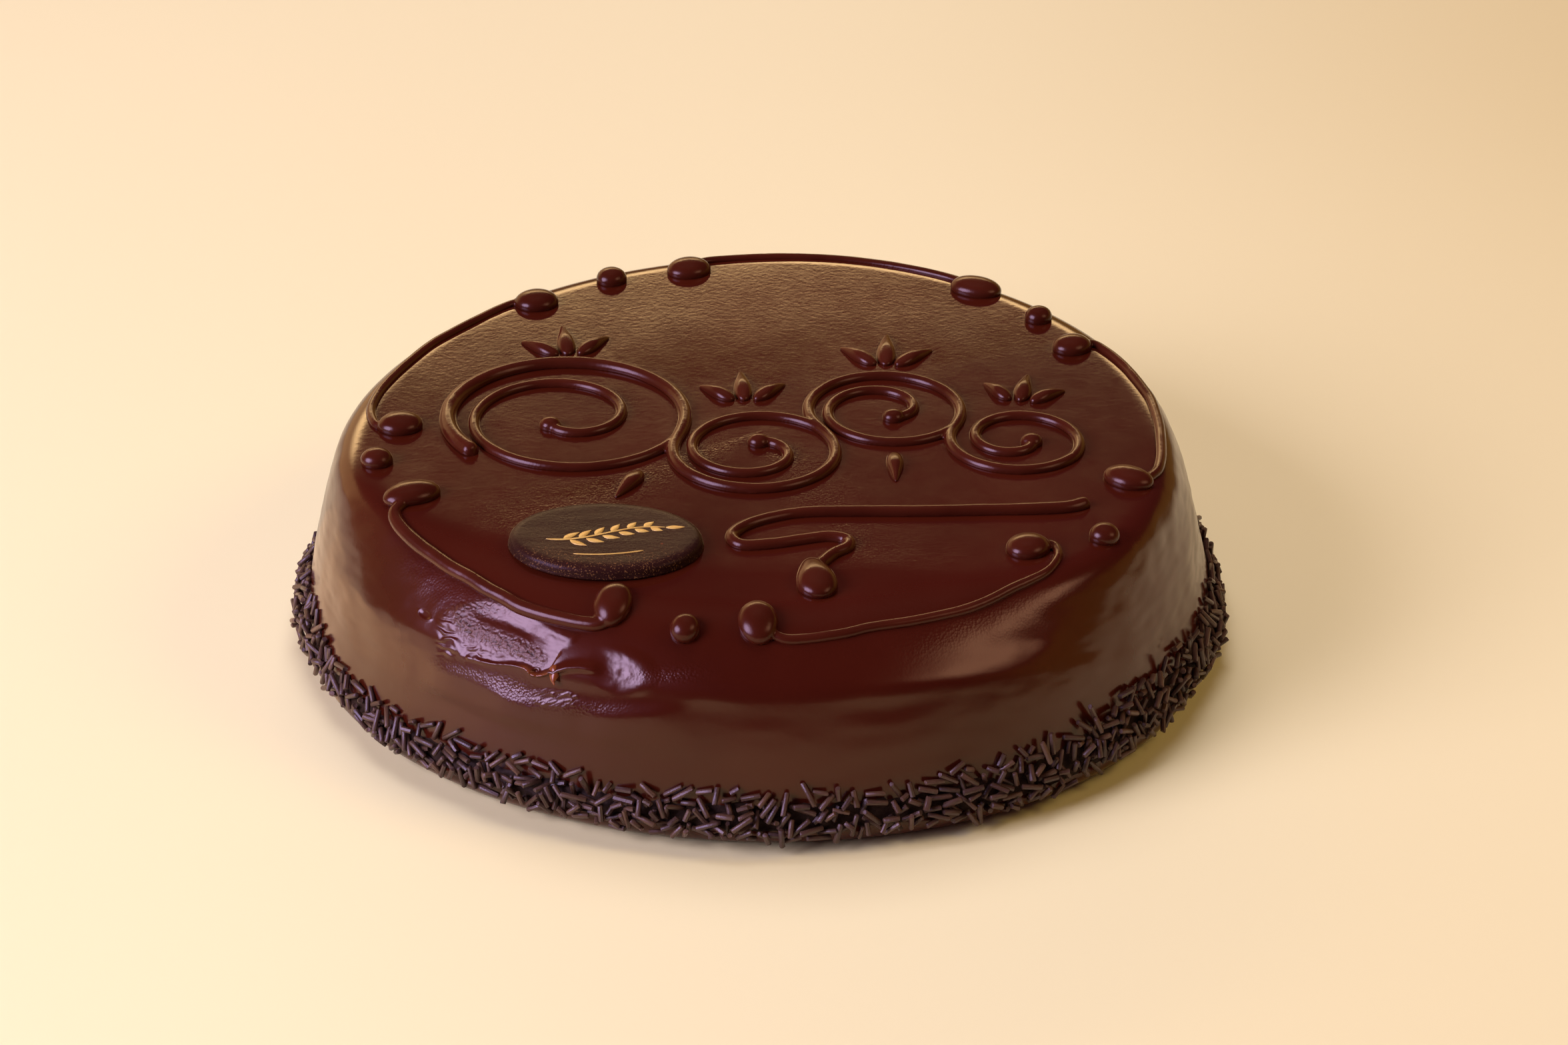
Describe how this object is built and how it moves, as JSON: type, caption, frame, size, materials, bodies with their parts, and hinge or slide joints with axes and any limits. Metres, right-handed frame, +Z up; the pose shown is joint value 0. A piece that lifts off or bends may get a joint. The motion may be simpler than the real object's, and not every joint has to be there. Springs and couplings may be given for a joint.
{
  "type": "chocolate torte cake",
  "caption": "Whole round chocolate-glazed torte with piped scrolls, drops and leaves on top, an oval chocolate plaque and a band of chocolate sprinkles round the foot.",
  "frame": {"origin": "middle of the cake's flat underside, on the surface it stands on", "axes": "+Z up; -Y is the front, the side nearest the plaque; +X to the right of the front"},
  "size_m": [0.2441, 0.2468, 0.0572],
  "materials": {
    "glaze": "smooth set chocolate glaze, satin gloss with a faint orange-peel texture",
    "piping": "piped chocolate, smooth and satin gloss",
    "plaque_chocolate": "moulded dark chocolate, semi-matte with fine speckle",
    "gold": "edible gold lustre on the plaque, satin",
    "sprinkle": "chocolate vermicelli, satin with dull broken ends"
  },
  "bodies": {
    "root": {"cake_body": "glaze", "sprinkle_band": "sprinkle", "plaque": "plaque_chocolate", "vine": "piping", "flourish": "piping", "scroll_1": "piping", "scroll_2": "piping", "scroll_3": "piping", "scroll_4": "piping", "scroll_5": "piping", "dot_1": "piping", "dot_2": "piping", "dot_3": "piping", "dot_4": "piping", "dot_5": "piping", "leaf_1": "piping", "leaf_2": "piping", "leaf_3": "piping", "leaf_4": "piping", "leaf_5": "piping", "leaf_6": "piping", "leaf_7": "piping", "leaf_8": "piping", "leaf_9": "piping", "leaf_10": "piping", "leaf_11": "piping", "leaf_12": "piping", "leaf_13": "piping", "leaf_14": "piping"}
  },
  "joints": []
}
